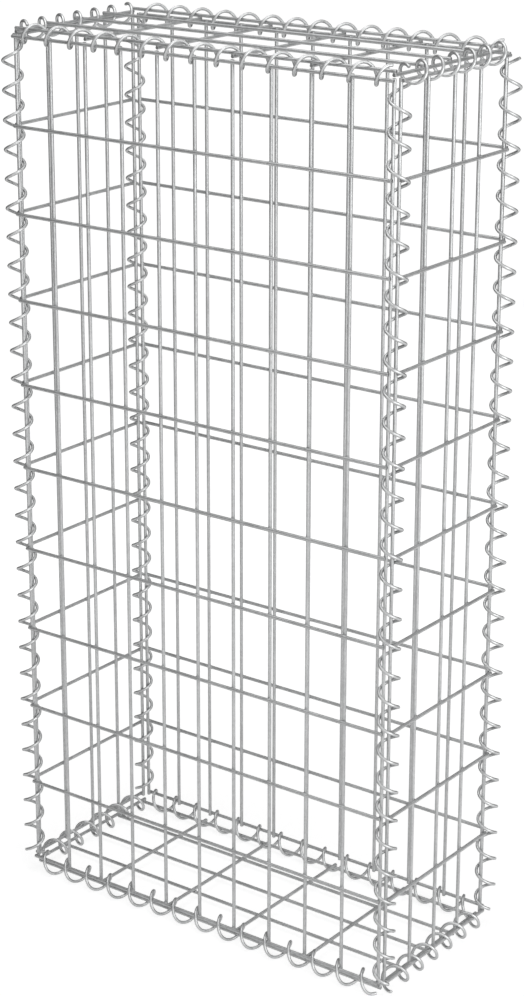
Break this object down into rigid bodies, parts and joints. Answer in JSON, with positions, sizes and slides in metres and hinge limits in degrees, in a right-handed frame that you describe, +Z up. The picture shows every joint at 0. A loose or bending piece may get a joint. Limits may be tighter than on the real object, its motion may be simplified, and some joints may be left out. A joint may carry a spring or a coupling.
{
  "type": "gabion basket",
  "caption": "Tall slim empty gabion basket: welded galvanised wire mesh walls, lid and base, laced along every edge with spiral binders, to be filled with stones as a wall.",
  "frame": {"origin": "middle of the footprint, at the level that the bottom spirals stand on", "axes": "+Z up the basket, -Y out of the front panel, +X to the right seen from the front"},
  "size_m": [0.5378, 0.2374, 1.0354],
  "materials": {
    "mesh_wire": "satin hot-dip zinc on drawn steel wire",
    "spiral_wire": "brighter satin zinc on spring steel wire"
  },
  "bodies": {
    "root": {"front_panel": "mesh_wire", "back_panel": "mesh_wire", "left_panel": "mesh_wire", "right_panel": "mesh_wire", "lid_panel": "mesh_wire", "base_panel": "mesh_wire", "front_left_spiral": "spiral_wire", "front_right_spiral": "spiral_wire", "back_left_spiral": "spiral_wire", "back_right_spiral": "spiral_wire", "top_front_spiral": "spiral_wire", "top_back_spiral": "spiral_wire", "top_left_spiral": "spiral_wire", "top_right_spiral": "spiral_wire", "bottom_front_spiral": "spiral_wire", "bottom_back_spiral": "spiral_wire", "bottom_left_spiral": "spiral_wire", "bottom_right_spiral": "spiral_wire"}
  },
  "joints": []
}
